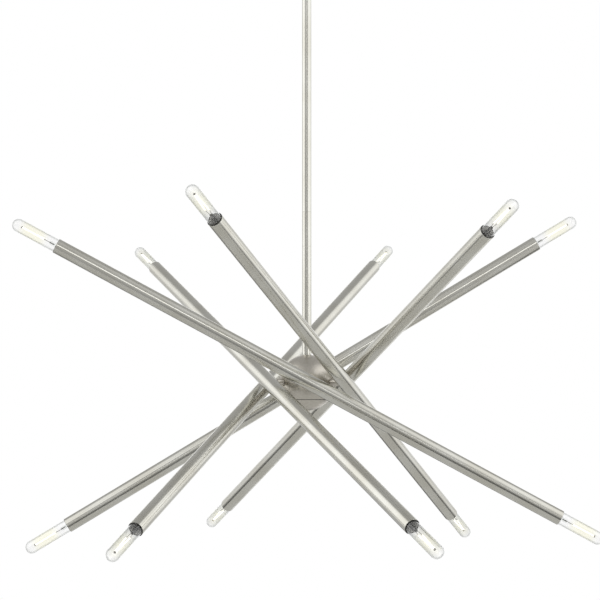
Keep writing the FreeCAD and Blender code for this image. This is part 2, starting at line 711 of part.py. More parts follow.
def glass_stem():
    """Solid glass mount: flared where it is sealed into the neck, domed where the wires leave it."""
    foot_x = bulb_neck_x - bulb_neck_insert
    flare_end_x = foot_x + lamp_stem_flare_length
    dome_x = lamp_stem_end - lamp_stem_dome
    tip = Vector(lamp_stem_end, 0, 0)
    edge = Vector(dome_x, lamp_stem_r, 0)
    dome_r = (lamp_stem_dome**2 + lamp_stem_r**2) / (2 * lamp_stem_dome)
    dome_centre = Vector(lamp_stem_end - dome_r, 0, 0)
    over = (edge - dome_centre) + (tip - dome_centre)
    edges = polyline([tip, Vector(foot_x, 0, 0), Vector(foot_x, lamp_stem_flare_r, 0),
                      Vector(flare_end_x, lamp_stem_r, 0), edge])
    edges.append(arc(edge, dome_centre + over.normalize() * dome_r, tip))
    return revolve(edges, X_AXIS)


def lampholder():
    """Moulded barrel, threaded shell and centre contact of one lampholder."""
    front = Vector(holder_front_x, 0, 0)
    back = Vector(holder_back_x, 0, 0)
    floor = Vector(holder_floor_x, 0, 0)
    barrel = bar(rod_inner_r - push_clearance, back, front).cut(bar(holder_bore_r, floor, front))
    for side in (-1, 1):
        lead_foot = back + Z_AXIS * (side * lead_pitch / 2)
        lead_hole = bar(lead_r + thread_clearance, lead_foot, lead_foot + X_AXIS * holder_floor / 2)
        barrel = barrel.cut(lead_hole)
    shell_front = front - X_AXIS * moving_gap
    shell = pipe(bulb_base_r + running_clearance + holder_shell_wall, bulb_base_r + running_clearance,
                 shell_front - X_AXIS * holder_shell_length, shell_front)
    contact_top = Vector(button_end_x - moving_gap, 0, 0)
    contact = bar(holder_contact_r, floor, contact_top)
    return [barrel, shell, contact]


def at_end(shape, side):
    """Move a lamp piece from the mouth frame to the rod's upper (+1) or lower (-1) end."""
    turn = Rotation(Z_AXIS, 0 if side > 0 else 180)
    return placed(shape, Placement(rod_middle + X_AXIS * (side * rod_length / 2), turn))


def lampholders():
    """Both lampholders of a rod with the four leads that run from them into the hub."""
    solids = []
    lead_end_y = arm_flat_y - moving_gap - washer_thickness - arm_nut_thickness - nipple_tail
    lead_run = rod_length / 2 + holder_back_x + holder_floor / 2
    for side in (1, -1):
        solids += [at_end(piece, side) for piece in lampholder()]
        for row in (-1, 1):
            height = Z_AXIS * (row * lead_pitch / 2)
            start = rod_middle + X_AXIS * (side * lead_run) + height
            corner = rod_middle + X_AXIS * (side * lead_pitch / 2) + height
            end = Vector(corner.x, lead_end_y, corner.z)
            solids.append(bent_lead(lead_r, start, corner, end, lead_bend_r))
    return solids


tube_shape = rod_tube()
stand_off_shapes = stand_off()
lampholder_shapes = lampholders()
glass_shape = bulb_glass()
base_shapes = bulb_base()

for index in range(rod_count):
    place = rod_place(index)
    name = f"rod_{index + 1}"
    add(f"{name}_tube", placed(tube_shape, place))
    add(f"{name}_stand_off", *[placed(s, place) for s in stand_off_shapes])
    add(f"{name}_lampholders", *[placed(s, place) for s in lampholder_shapes])
    for end_name, side in (("upper", 1), ("lower", -1)):
        bulb = f"bulb_{index + 1}_{end_name}"
        add(f"{bulb}_glass", placed(at_end(glass_shape, side), place))
        add(f"{bulb}_base", *[placed(at_end(s, side), place) for s in base_shapes])

# ---------------------------------------------------------------- export

os.makedirs("parts", exist_ok=True)
for node, shape in parts.items():
    volumes = [solid.Volume for solid in shape.Solids]
    print(f"{node}: {len(volumes)} solid(s), {sum(volumes) / 1000:.2f} cm3, valid {shape.isValid()}")
    shape.exportStep(f"parts/{node}.step")
print("nodes:", len(parts))
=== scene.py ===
"""Twelve-light rod chandelier in brushed nickel: its looks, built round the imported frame.

The frame gives every place: the swivel joints give the hub's centre and each rod's way out
of it, the lamps' joints give the mouths of the rods, and the nodes' boxes give the heights on
the stem. Lengths are in metres.
"""
import json
import logging
import math
from dataclasses import dataclass
from enum import Enum

import bmesh
import bpy
from mathutils import Matrix, Vector

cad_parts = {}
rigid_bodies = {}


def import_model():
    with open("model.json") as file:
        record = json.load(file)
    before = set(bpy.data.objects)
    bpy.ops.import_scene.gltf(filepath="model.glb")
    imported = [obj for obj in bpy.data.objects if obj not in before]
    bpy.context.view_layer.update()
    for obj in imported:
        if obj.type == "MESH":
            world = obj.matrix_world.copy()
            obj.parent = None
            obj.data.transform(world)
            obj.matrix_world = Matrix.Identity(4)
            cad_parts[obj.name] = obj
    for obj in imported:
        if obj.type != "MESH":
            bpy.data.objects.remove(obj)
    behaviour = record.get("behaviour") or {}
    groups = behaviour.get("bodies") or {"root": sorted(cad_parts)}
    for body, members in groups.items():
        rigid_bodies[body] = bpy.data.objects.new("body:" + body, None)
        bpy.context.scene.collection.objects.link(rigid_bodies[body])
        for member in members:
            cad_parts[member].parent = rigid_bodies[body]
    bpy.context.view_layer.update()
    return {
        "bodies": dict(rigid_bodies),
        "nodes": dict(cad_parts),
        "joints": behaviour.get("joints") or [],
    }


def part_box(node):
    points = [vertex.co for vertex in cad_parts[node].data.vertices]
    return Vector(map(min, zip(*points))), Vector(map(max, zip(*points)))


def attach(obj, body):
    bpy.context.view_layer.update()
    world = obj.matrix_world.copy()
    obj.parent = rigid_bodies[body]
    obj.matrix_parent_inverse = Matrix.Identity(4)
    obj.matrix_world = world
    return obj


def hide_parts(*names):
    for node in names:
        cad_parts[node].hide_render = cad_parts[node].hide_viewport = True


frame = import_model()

MM = 0.001
log = logging.getLogger("chandelier")

Point = tuple[float, float]

FILAMENT_FROM = 24.0 * MM       # from the rod's mouth
FILAMENT_TO = 64.0 * MM
TURNED_UV = "turning"           # UV map in metres: along the profile, then round the piece
REACH = "reach"                 # attribute: the distance along a piece's own X axis
ON_AXIS = 1e-6                  # a profile point with a smaller radius is one vertex
SHARP_EDGE_DEG = 50
HOLD_RADII = 2.5                # how many roundings from a corner its flat run is held
LONG_RUN_RADII = 6              # a run of fewer roundings needs no such point


# ------------------------------------------------------------------ colour and nodes


def linear(hex_colour: str) -> tuple[float, float, float, float]:
    """Turn an sRGB hex colour into the linear colour that a socket takes.

    Args:
        hex_colour: "#RRGGBB".

    Returns:
        Red, green, blue and an alpha of 1.
    """
    shares = [int(hex_colour[i:i + 2], 16) / 255 for i in (1, 3, 5)]
    red, green, blue = (c / 12.92 if c <= 0.04045 else ((c + 0.055) / 1.055) ** 2.4 for c in shares)
    return red, green, blue, 1.0


def add_node(tree: bpy.types.NodeTree, kind: str, settings: dict | None = None,
             values: dict | None = None, links: dict | None = None) -> bpy.types.Node:
    """Add a node with its settings and links.

    Args:
        tree: node tree that gets the node.
        kind: type of the node, without the words ShaderNode in front.
        settings: attributes to set on the node.
        values: constants for its input sockets, by name or number.
        links: output sockets to link to its input sockets, by name or number.

    Returns:
        The new node.
    """
    node = tree.nodes.new("ShaderNode" + kind)
    for key, value in (settings or {}).items():
        setattr(node, key, value)
    for key, value in (values or {}).items():
        node.inputs[key].default_value = value
    for key, socket in (links or {}).items():
        tree.links.new(socket, node.inputs[key])
    return node


def set_ramp(node: bpy.types.Node, stops: list[tuple[float, str]]) -> None:
    """Write a colour ramp's stops.

    Args:
        node: the colour ramp node.
        stops: place and sRGB hex colour of each stop, in order.
    """
    elements = node.color_ramp.elements
    while len(elements) < len(stops):
        elements.new(0.5)
    for element, (place, colour) in zip(elements, stops):
        element.position = place
        element.color = linear(colour)


def new_tree(name: str) -> tuple[bpy.types.Material, bpy.types.NodeTree]:
    """Make a material with an empty node tree.

    Args:
        name: the material's name.

    Returns:
        The material and its tree.
    """
    material = bpy.data.materials.new(name)
    material.use_nodes = True
    material.node_tree.nodes.clear()
    return material, material.node_tree


def finish_tree(tree: bpy.types.NodeTree, shader: bpy.types.Node) -> None:
    """Send a shader to the material's output."""
    add_node(tree, "OutputMaterial", links={"Surface": shader.outputs[0]})


# ------------------------------------------------------------------ finishes


@dataclass(frozen=True)
class BrushedNickel:
    """Satin nickel plate on turned steel: a warm grey metal, brushed round and round.

    The brush lines run round each piece, so a highlight stays narrow across a tube and smears
    along it. The lines are 0.1 mm apart on the real tube and are drawn coarser, so they show.
    """

    name: str = "brushed_nickel_plate"
    colour: str = "#CDCCC5"
    worn_colour: str = "#C6C4BB"
    roughness: float = 0.18
    roughness_spread: float = 0.02
    anisotropy: float = 0.9
    line_pitch: float = 2.2 * MM
    line_length: float = 60 * MM
    patch_size: float = 70 * MM
    line_height: float = 0.02 * MM
    line_strength: float = 0.35

    def build(self) -> bpy.types.Material:
        """Make the material, which needs a UV map in metres: along the profile, then round it."""
        material, tree = new_tree(self.name)
        uv = add_node(tree, "UVMap", {"uv_map": TURNED_UV})
        lines = add_node(tree, "Mapping",
                         values={"Scale": (1 / self.line_pitch, 1 / self.line_length, 1)},
                         links={"Vector": uv.outputs[0]})
        brushing = add_node(tree, "TexNoise", {"noise_dimensions": "2D"},
                            {"Scale": 1.0, "Detail": 3.0, "Roughness": 0.6}, {"Vector": lines.outputs[0]})
        patches = add_node(tree, "TexNoise", {"noise_dimensions": "2D"},
                           {"Scale": 1 / self.patch_size, "Detail": 2.0}, {"Vector": uv.outputs[0]})
        rough = add_node(tree, "MapRange", values={
            "To Min": self.roughness - self.roughness_spread,
            "To Max": self.roughness + self.roughness_spread}, links={"Value": brushing.outputs[0]})
        tint = add_node(tree, "ValToRGB", links={"Fac": patches.outputs[0]})
        set_ramp(tint, [(0.35, self.worn_colour), (0.65, self.colour)])
        bump = add_node(tree, "Bump",
                        values={"Strength": self.line_strength, "Distance": self.line_height},
                        links={"Height": brushing.outputs[0]})
        tangent = add_node(tree, "Tangent", {"direction_type": "UV_MAP", "uv_map": TURNED_UV})
        shader = add_node(tree, "BsdfPrincipled",
                          values={"Metallic": 1.0, "Anisotropic": self.anisotropy},
                          links={"Base Color": tint.outputs[0], "Roughness": rough.outputs[0],
                                 "Normal": bump.outputs[0], "Tangent": tangent.outputs[0]})
        finish_tree(tree, shader)
        return material


@dataclass(frozen=True)
class SatinMetal:
    """A metal piece with no turned grain of its own: blasted, plated, stamped or cast.

    Its fine grain only softens the gloss, so it is drawn as a slow change of roughness.
    """

    name: str
    colour: str
    dark_colour: str
    roughness: float
    grain: float
    metallic: float = 1.0
    roughness_spread: float = 0.07
    grain_height: float = 0.02 * MM
    grain_strength: float = 0.2

    def build(self) -> bpy.types.Material:
        """Make the material from noise over the object's own metres."""
        material, tree = new_tree(self.name)
        place = add_node(tree, "TexCoord")
        grain = add_node(tree, "TexNoise", values={"Scale": 1 / self.grain, "Detail": 4.0},
                         links={"Vector": place.outputs["Object"]})
        tint = add_node(tree, "ValToRGB", links={"Fac": grain.outputs[0]})
        set_ramp(tint, [(0.3, self.dark_colour), (0.7, self.colour)])
        rough = add_node(tree, "MapRange", values={
            "To Min": self.roughness - self.roughness_spread,
            "To Max": self.roughness + self.roughness_spread}, links={"Value": grain.outputs[0]})
        bump = add_node(tree, "Bump",
                        values={"Strength": self.grain_strength, "Distance": self.grain_height},
                        links={"Height": grain.outputs[0]})
        shader = add_node(tree, "BsdfPrincipled", values={"Metallic": self.metallic},
                          links={"Base Color": tint.outputs[0], "Roughness": rough.outputs[0],
                                 "Normal": bump.outputs[0]})
        finish_tree(tree, shader)
        return material


@dataclass(frozen=True)
class LampGlass:
    """Soda-lime lamp tubing, drawn and blown clear: colourless, with faint draw lines.

    The filaments' warm light is painted into the glass's colour in the middle of the tube, as a
    pale warm tint there, and painted shade greys the glass toward the outline, which sets it off
    from the white behind it.
    """

    name: str = "clear_lamp_glass"
    clear: str = "#FCFCFC"
    painted_glow_colour: str = "#FDFCF4"
    # The grey painted on the glass where it is seen edge on: painted shade.
    painted_edge_shade: str = "#CBCDCB"
    ior: float = 1.52
    roughness: float = 0.0
    edge_from: float = 0.25         # of the layer weight's facing value
    edge_to: float = 0.65
    glow_fade: float = 10 * MM
    draw_line: float = 3 * MM
    draw_line_length: float = 150 * MM
    draw_line_height: float = 0.02 * MM
    draw_line_strength: float = 0.05

    def build(self) -> bpy.types.Material:
        """Make the material, which reads the distance from the rod's mouth as an attribute."""
        material, tree = new_tree(self.name)
        reach = add_node(tree, "Attribute", {"attribute_name": REACH})
        rise = add_node(tree, "MapRange", {"interpolation_type": "SMOOTHSTEP"},
                        {"From Min": FILAMENT_FROM - self.glow_fade,
                         "From Max": FILAMENT_FROM + self.glow_fade},
                        {"Value": reach.outputs["Fac"]})
        fall = add_node(tree, "MapRange", {"interpolation_type": "SMOOTHSTEP"},
                        {"From Min": FILAMENT_TO + self.glow_fade,
                         "From Max": FILAMENT_TO - self.glow_fade},
                        {"Value": reach.outputs["Fac"]})
        # Painted light: the filaments' warm glow is painted into the glass's colour, between these two
        # fades.
        painted_glow_share = add_node(tree, "Math", {"operation": "MULTIPLY"},
                        links={0: rise.outputs[0], 1: fall.outputs[0]})
        tint = add_node(tree, "ValToRGB", links={"Fac": painted_glow_share.outputs[0]})
        set_ramp(tint, [(0.0, self.clear), (1.0, self.painted_glow_colour)])
        # Painted shade: the glass's colour greys where its wall is seen edge on, at the outline.
        slant = add_node(tree, "LayerWeight", values={"Blend": 0.5})
        wall = add_node(tree, "ValToRGB", links={"Fac": slant.outputs["Facing"]})
        set_ramp(wall, [(self.edge_from, "#FFFFFF"), (self.edge_to, self.painted_edge_shade)])
        colour = add_node(tree, "Mix", {"data_type": "RGBA", "blend_type": "MULTIPLY"}, {0: 1.0},
                          {6: tint.outputs[0], 7: wall.outputs[0]})
        uv = add_node(tree, "UVMap", {"uv_map": TURNED_UV})
        drawn = add_node(tree, "Mapping",
                         values={"Scale": (1 / self.draw_line_length, 1 / self.draw_line, 1)},
                         links={"Vector": uv.outputs[0]})
        ripple = add_node(tree, "TexNoise", {"noise_dimensions": "2D"}, {"Scale": 1.0, "Detail": 1.0},
                          {"Vector": drawn.outputs[0]})
        bump = add_node(tree, "Bump", values={"Strength": self.draw_line_strength,
                                              "Distance": self.draw_line_height},
                        links={"Height": ripple.outputs[0]})
        shader = add_node(tree, "BsdfPrincipled",
                          values={"Transmission Weight": 1.0, "IOR": self.ior,
                                  "Roughness": self.roughness},
                          links={"Base Color": colour.outputs[2], "Normal": bump.outputs[0]})
        finish_tree(tree, shader)
        return material


@dataclass(frozen=True)
class MountGlass:
    """Lead glass of the lamp's mount, pressed round the wires: clear, with seed and press marks.

    The marks break up what is seen through it, so that the mount glints in the lamp's neck.
    """

    name: str = "pressed_mount_glass"
    colour: str = "#EEF0EE"
    ior: float = 1.56
    roughness: float = 0.04
    mark_size: float = 1.5 * MM
    mark_depth: float = 0.15 * MM
    mark_strength: float = 0.5

    def build(self) -> bpy.types.Material:
        """Make the material."""
        material, tree = new_tree(self.name)
        place = add_node(tree, "TexCoord")
        marks = add_node(tree, "TexNoise", values={"Scale": 1 / self.mark_size, "Detail": 1.0},
                         links={"Vector": place.outputs["Object"]})
        bump = add_node(tree, "Bump",
                        values={"Strength": self.mark_strength, "Distance": self.mark_depth},
                        links={"Height": marks.outputs[0]})
        shader = add_node(tree, "BsdfPrincipled",
                          values={"Base Color": linear(self.colour), "Transmission Weight": 1.0,
                                  "IOR": self.ior, "Roughness": self.roughness},
                          links={"Normal": bump.outputs[0]})
        finish_tree(tree, shader)
        return material


@dataclass(frozen=True)
class PhosphorCoat:
    """Silicone loaded with phosphor, dipped over the filament's chips, lit: a warm cream light."""

    name: str = "lit_filament_phosphor"
    colour: str = "#FBF6E2"
    light: str = "#FFFEF8"
    strength: float = 1.05
    chip_contrast: float = 0.1
    chip_pitch: float = 1.4 * MM
    roughness: float = 0.5

    def build(self) -> bpy.types.Material:
        """Make the material, which reads the distance along the filament for its chips."""
        material, tree = new_tree(self.name)
        reach = add_node(tree, "Attribute", {"attribute_name": REACH})
        chips = add_node(tree, "Math", {"operation": "MULTIPLY"}, {1: math.tau / self.chip_pitch},
                         {0: reach.outputs["Fac"]})
        wave = add_node(tree, "Math", {"operation": "SINE"}, links={0: chips.outputs[0]})
        light = add_node(tree, "MapRange", values={
            "From Min": -1.0, "To Min": self.strength * (1 - self.chip_contrast),
            "To Max": self.strength * (1 + self.chip_contrast)}, links={"Value": wave.outputs[0]})
        shader = add_node(tree, "BsdfPrincipled",
                          values={"Base Color": linear(self.colour), "Roughness": self.roughness,
                                  "Emission Color": linear(self.light)},
                          links={"Emission Strength": light.outputs[0]})
        finish_tree(tree, shader)
        return material


@dataclass(frozen=True)
class MouldedPlastic:
    """A moulded plastic, such as phenolic or PVC insulation, with a fine mould texture."""

    name: str
    colour: str
    pale_colour: str
    roughness: float
    texture: float = 0.6 * MM
    texture_depth: float = 0.03 * MM
    texture_strength: float = 0.3
    ior: float = 1.5

    def build(self) -> bpy.types.Material:
        """Make the material from noise over the object's own metres."""
        material, tree = new_tree(self.name)
        place = add_node(tree, "TexCoord")
        texture = add_node(tree, "TexNoise", values={"Scale": 1 / self.texture, "Detail": 3.0},
                           links={"Vector": place.outputs["Object"]})
        tint = add_node(tree, "ValToRGB", links={"Fac": texture.outputs[0]})
        set_ramp(tint, [(0.3, self.colour), (0.7, self.pale_colour)])
        bump = add_node(tree, "Bump", values={"Strength": self.texture_strength,
                                              "Distance": self.texture_depth},
                        links={"Height": texture.outputs[0]})
        shader = add_node(tree, "BsdfPrincipled",
                          values={"Roughness": self.roughness, "IOR": self.ior},
                          links={"Base Color": tint.outputs[0], "Normal": bump.outputs[0]})
        finish_tree(tree, shader)
        return material


class Finish(Enum):
    """Every finish on the chandelier, each built once."""

    # Light and dark bands along the rods and the stem.
    NICKEL = BrushedNickel()
    # Softer than the rods, so that the ball and the swivel show broad, blurred highlights.
    CAST_NICKEL = SatinMetal("plated_cast_nickel", "#C6C2B9", "#B9B4AA", 0.34, 3 * MM)
    # A cooler, duller grey that marks the hidden fittings as plain hardware.
    ZINC = SatinMetal("zinc_plated_steel", "#C3C5C4", "#9FA2A3", 0.38, 5 * MM)
    # The green that tells an earth screw from the rest.
    GREEN_ZINC = SatinMetal("green_dyed_zinc", "#2F7A45", "#1E5A31", 0.4, 2 * MM, metallic=0.6)
    # A warm yellow metal on each lamp's cap and button.
    BRASS = SatinMetal("lamp_cap_brass", "#D9BE84", "#C2A264", 0.28, 2 * MM)
    # Dark thin lines in the glass, and the dark dot near its tip.
    STEEL_WIRE = SatinMetal("nickel_iron_wire", "#8C8A86", "#5E5C58", 0.35, 1 * MM)
    GLASS = LampGlass()
    MOUNT = MountGlass()
    PHOSPHOR = PhosphorCoat()
    # A satin mid grey, deep in the mouths and under the lamps' caps.
    PHENOLIC = MouldedPlastic("grey_moulded_phenolic", "#A3A19C", "#B2B0AA", 0.42)
    # A pale lining inside each mouth. It shows close up, but the mouths stay dark from afar.
    FIBRE = MouldedPlastic("white_fibre_sleeve", "#E9E6DE", "#F1EFE8", 0.6)
    # Painted shade: a black ring stands in for the shade in the gap round each mouth, and in the hub's
    # seam.
    COLLAR = MouldedPlastic("black_painted_gap_shade", "#171615", "#211F1D", 0.42)
    # An off-white jacket on the leads.
    INSULATION = MouldedPlastic("pvc_insulation", "#D8D5CC", "#E4E2DA", 0.4)

    def material(self) -> bpy.types.Material:
        """Return this finish's material, made the first time that it is asked for."""
        found = bpy.data.materials.get(self.value.name)
        return found or self.value.build()


# ------------------------------------------------------------------ turned shapes


def arc_points(centre: Point, radius: float, start_deg: float, end_deg: float, steps: int) -> list[Point]:
    """Points along a circular stretch of a profile, both ends included.

    Args:
        centre: along and radius of the arc's centre.
        radius: the arc's radius.
        start_deg: angle of its first point, from the direction along the axis.
        end_deg: angle of its last point.
        steps: spaces between points.

    Returns:
        The points in order.
    """
    angles = [math.radians(start_deg + (end_deg - start_deg) * i / steps) for i in range(steps + 1)]
    return [(centre[0] + radius * math.cos(a), centre[1] + radius * math.sin(a)) for a in angles]


def rounded(corners: list[Point], radius: float, steps: int = 3) -> list[Point]:
    """Round each corner of a closed profile and hold its straight runs flat.

    Args:
        corners: the profile's corners, in order.
        radius: how far from a corner its rounding starts.
        steps: spaces between the points of one rounding.

    Returns:
        The profile's points, with one more outside each rounding, where the run is long enough.
    """
    points: list[Point] = []
    for i, corner in enumerate(corners):
        here = Vector(corner)
        before = Vector(corners[i - 1]) - here
        after = Vector(corners[(i + 1) % len(corners)]) - here
        way_in, way_out = before.normalized(), after.normalized()
        if before.length > LONG_RUN_RADII * radius:
            points.append(tuple(here + way_in * radius * HOLD_RADII))
        for step in range(steps + 1):
            t = step / steps
            curve = here + way_in * radius * (1 - t) ** 2 + way_out * radius * t ** 2
            points.append(tuple(curve))
        if after.length > LONG_RUN_RADII * radius:
            points.append(tuple(here + way_out * radius * HOLD_RADII))
    return points


def tube_profile(start: float, end: float, bore_r: float, outer_r: float, edge: float,
                 steps: int = 3) -> list[Point]:
    """Make the closed profile of a straight tube with rounded edges.

    Args:
        start: where one of its ends is along the axis.
        end: where the other is.
        bore_r: the bore's radius.
        outer_r: the outer radius.
        edge: the rounding of its four edges.
        steps: spaces between the points of one rounding.

    Returns:
        The profile's points.
    """
    return rounded([(start, bore_r), (start, outer_r), (end, outer_r), (end, bore_r)], edge, steps)


def turn(name: str, profile: list[Point], place: Matrix, closed: bool,
         segments: int = 96) -> bpy.types.Object:
    """Turn a profile about the X axis into a mesh with a UV map in metres.

    Args:
        name: the new object's name.
        profile: points (along, radius), in order. An open profile starts and ends on the axis.
        place: where the piece's own frame goes.
        closed: whether the last point joins the first, as in a ring or a tube.
        segments: faces round the piece.

    Returns:
        The new object, with its vertices in the row frame. Its "reach" attribute is the
        distance along the piece's own X axis.
    """
    mesh = bpy.data.meshes.new(name)
    work = bmesh.new()
    uv_layer = work.loops.layers.uv.new(TURNED_UV)
    reach_layer = work.verts.layers.float.new(REACH)
    rings: list[list[bmesh.types.BMVert]] = []
    for along, radius in profile:
        count = segments if radius > ON_AXIS else 1
        ring = []
        for step in range(count):
            angle = math.tau * step / segments
            vert = work.verts.new((along, radius * math.cos(angle), radius * math.sin(angle)))
            vert[reach_layer] = along
            ring.append(vert)
        rings.append(ring)
    lengths = [0.0]
    loop = profile + profile[:1] if closed else profile
    for a, b in zip(loop, loop[1:]):
        lengths.append(lengths[-1] + math.dist(a, b))
    around = math.tau * max(radius for _, radius in profile)
    order = rings + rings[:1] if closed else rings
    for i, (first, second) in enumerate(zip(order, order[1:])):
        for step in range(segments):
            following = (step + 1) % segments
            corners = [(first[step % len(first)], lengths[i], step)]
            if len(first) > 1:
                corners.append((first[following], lengths[i], step + 1))
            if len(second) > 1:
                corners.append((second[following], lengths[i + 1], step + 1))
            corners.append((second[step % len(second)], lengths[i + 1], step))
            face = work.faces.new([vert for vert, _, _ in corners])
            face.smooth = True
            for corner, (_, length, turned) in zip(face.loops, corners):
                corner[uv_layer].uv = (length, around * turned / segments)
    bmesh.ops.recalc_face_normals(work, faces=work.faces)
    work.to_mesh(mesh)
    work.free()
    mesh.transform(place)
    mesh.set_sharp_from_angle(angle=math.radians(SHARP_EDGE_DEG))
    piece = bpy.data.objects.new(name, mesh)
    bpy.context.scene.collection.objects.link(piece)
    return piece


def wire(name: str, points: list[Vector], radius: float, place: Matrix) -> bpy.types.Object:
    """Make a round wire through points in a piece's own frame.

    Args:
        name: the new object's name.
        points: the wire's line.
        radius: the wire's radius.
        place: where the frame goes.

    Returns:
        A mesh object with its vertices in the row frame.
    """
    curve = bpy.data.curves.new(name, "CURVE")
    curve.dimensions = "3D"
    curve.bevel_depth = radius
    curve.bevel_resolution = 4
    curve.use_fill_caps = True
    spline = curve.splines.new("POLY")
    spline.points.add(len(points) - 1)
    for spot, point in zip(spline.points, points):
        spot.co = (*(place @ point), 1)
    carrier = bpy.data.objects.new(name, curve)
    mesh = bpy.data.meshes.new_from_object(carrier)
    mesh.name = name
    bpy.data.objects.remove(carrier)
    bpy.data.curves.remove(curve)
    mesh.shade_smooth()
    piece = bpy.data.objects.new(name, mesh)
    bpy.context.scene.collection.objects.link(piece)
    return piece


def dress(piece: bpy.types.Object, finish: Finish, body: str) -> None:
    """Give a new piece its finish and the body that it rides on.

    Args:
        piece: the new piece.
        finish: what it is made of.
        body: the body that carries it.
    """
    piece.data.materials.clear()
    piece.data.materials.append(finish.material())
    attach(piece, body)
    log.info("%s rides on %s in %s", piece.name, body, finish.value.name)


def dress_node(node: str, finish: Finish) -> None:
    """Give a CAD node that stays in view a better material.

    Args:
        node: the node's name.
        finish: what it is made of.
    """
    carried = frame["nodes"][node]
    for spot in carried.material_slots:
        spot.material = finish.material()
    log.info("%s keeps its shape, in %s", node, finish.value.name)


def joint(name: str) -> dict:
    """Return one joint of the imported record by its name."""
    return next(j for j in frame["joints"] if j["name"] == name)


def along_z(height: float) -> Matrix:
    """Return the frame of a piece turned on the stem's axis: its X axis is up, from a height."""
    return Matrix.Translation((0, 0, height)) @ Matrix.Rotation(-math.pi / 2, 4, "Y")


# ------------------------------------------------------------------ lamps


@dataclass
class Lamp:
    """One tubular lamp: glass, screw cap, and the mount with its two filaments."""

    name: str
    mouth: Matrix
    glass_r: float = 11.0 * MM
    glass_wall: float = 0.8 * MM
    reach: float = 82.0 * MM
    seat_depth: float = 14.0 * MM
    shoulder: float = 10.0 * MM
    neck_r: float = 5.45 * MM
    neck_insert: float = 3.0 * MM
    cap_r: float = 5.9 * MM
    cap_wall: float = 0.4 * MM
    cap_length: float = 14.0 * MM
    thread_pitch: float = 2.54 * MM
    thread_depth: float = 0.45 * MM
    insulator_length: float = 3.5 * MM
    insulator_rim: float = 0.6 * MM
    button_r: float = 1.8 * MM
    button_length: float = 1.5 * MM
    button_share: float = 0.6       # of its length and radius, where its chamfer starts and ends
    flare_r: float = 4.4 * MM
    flare_length: float = 9.0 * MM
    flare_waist_r: float = 3.6 * MM
    flare_waist_share: float = 0.4  # of the flare's length
    mount_r: float = 2.9 * MM
    mount_end: float = 13.0 * MM
    wire_r: float = 0.4 * MM
    wire_spread: float = 1.5 * MM
    wire_root: float = 9.0 * MM     # how far back in the mount the wires start
    wire_bend: float = 3.0 * MM     # how far before the filament they bend
    wire_bend_share: float = 0.96   # of the filament's spread, at that bend
    filament_r: float = 0.9 * MM
    filament_spread: float = 3.6 * MM
    filament_end_spread: float = 1.1 * MM
    bridge_r: float = 2.0 * MM
    bridge_bore_r: float = 0.3 * MM
    bridge_length: float = 1.6 * MM
    bridge_edge: float = 0.2 * MM
    straight_shares: tuple[float, ...] = (0.97, 0.66, 0.33, 0.0)
    dome_steps: int = 18
    shoulder_steps: int = 12
    thread_rings: int = 56
    filament_rings: int = 6

    @property
    def neck_x(self) -> float:
        """Where the shoulder ends and the neck starts."""
        return -self.seat_depth - self.shoulder

    def glass_face(self, radius: float, neck_r: float, tip: float) -> list[Point]:
        """Profile of one face of the glass.

        Args:
            radius: of the straight part.
            neck_r: of the neck.
            tip: how far out the dome reaches.

        Returns:
            Points from the tip back to the neck's end.
        """
        straight = tip - radius
        points = arc_points((straight, 0.0), radius, 0, 90, self.dome_steps)
        points += [(straight * share, radius) for share in self.straight_shares]
        for step in range(self.shoulder_steps + 1):
            t = step / self.shoulder_steps
            ease = t * t * (3 - 2 * t)
            points.append((-self.seat_depth - self.shoulder * t, radius + (neck_r - radius) * ease))
        points.append((self.neck_x - self.neck_insert, neck_r))
        return points

    def build_glass(self, body: str) -> None:
        """Blow the glass: an outer and an inner face that meet round the neck's end."""
        inner_r = self.glass_r - self.glass_wall
        outside = self.glass_face(self.glass_r, self.neck_r, self.reach)
        inside = self.glass_face(inner_r, self.neck_r - self.glass_wall, self.reach - self.glass_wall)
        piece = turn(f"{self.name}_glass_tube", outside + inside[::-1], self.mouth, closed=False,
                     segments=72)
        piece.visible_shadow = False    # clear glass lets the light through to what it holds
        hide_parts(f"{self.name}_glass")
        dress(piece, Finish.GLASS, body)

    def build_cap(self, body: str) -> None:
        """Roll the threaded cap, with its insulator and button."""
        end = self.neck_x - self.cap_length
        root_r = self.cap_r - self.thread_depth
        places = [self.neck_x - self.cap_length * i / self.thread_rings
                  for i in range(self.thread_rings + 1)]
        outer = [(along, root_r) for along in places]
        inner = [(along, root_r - self.cap_wall) for along in reversed(places)]
        shell = turn(f"{self.name}_cap", outer + inner, self.mouth, closed=True, segments=48)
        into_mouth = self.mouth.inverted()
        for vert in shell.data.vertices:
            spot = into_mouth @ vert.co
            angle = math.atan2(spot.z, spot.y)
            fade = min(1.0, (self.neck_x - spot.x) / self.thread_pitch,
                       (spot.x - end) / self.thread_pitch)
            wave = 0.5 + 0.5 * math.cos(math.tau * spot.x / self.thread_pitch - angle)
            lift = self.thread_depth * wave * max(0.0, fade)
            radial = Vector((0, spot.y, spot.z)).normalized()
            vert.co = self.mouth @ (spot + radial * lift)
        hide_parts(f"{self.name}_base")
        dress(shell, Finish.BRASS, body)
        foot = end - self.insulator_length
        core = [(end, 0.0), (end, root_r), (end - self.insulator_rim, root_r),
                (foot, self.button_r), (foot, 0.0)]
        dress(turn(f"{self.name}_insulator", core, self.mouth, closed=False, segments=48),
              Finish.PHENOLIC, body)
        tip = foot - self.button_length
        button = [(foot, 0.0), (foot, self.button_r),
                  (foot - self.button_share * self.button_length, self.button_r),
                  (tip, self.button_share * self.button_r), (tip, 0.0)]
        dress(turn(f"{self.name}_button", button, self.mouth, closed=False, segments=32),
              Finish.BRASS, body)

